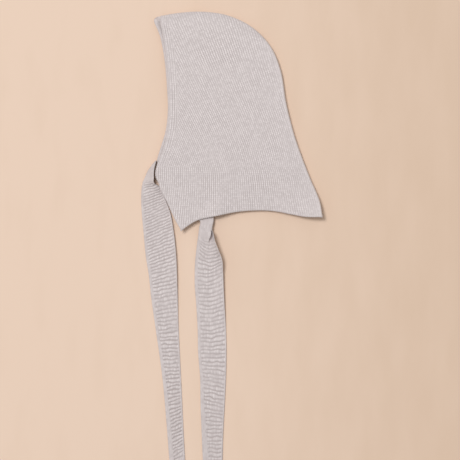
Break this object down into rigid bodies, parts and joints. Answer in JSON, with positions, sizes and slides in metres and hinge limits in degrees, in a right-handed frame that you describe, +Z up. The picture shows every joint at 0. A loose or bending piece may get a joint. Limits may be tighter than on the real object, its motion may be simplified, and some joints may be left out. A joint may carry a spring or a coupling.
{
  "type": "knit hood with ties",
  "caption": "Knit rib hood lying flat on its side, with an open face, an open neck and two long ribbed ties, one loose and one tucked between the sides.",
  "frame": {"origin": "middle of the box round hood and ties, on the surface that they lie on", "axes": "+Z up from the surface, +Y from the ties' free ends towards the crown, +X from the face opening towards the back of the head"},
  "size_m": [0.2177, 0.5467, 0.0096],
  "materials": {
    "hood_knit": "soft matt fine rib knit, light warm grey",
    "tie_knit": "soft matt knit with ridges across, light warm grey"
  },
  "bodies": {
    "root": {"head_panel_upper": "hood_knit", "head_panel_lower": "hood_knit", "face_band_upper": "hood_knit", "face_band_lower": "hood_knit", "neck_panel_upper": "hood_knit", "neck_panel_lower": "hood_knit", "tie_upper": "tie_knit", "tie_lower": "tie_knit"}
  },
  "joints": []
}
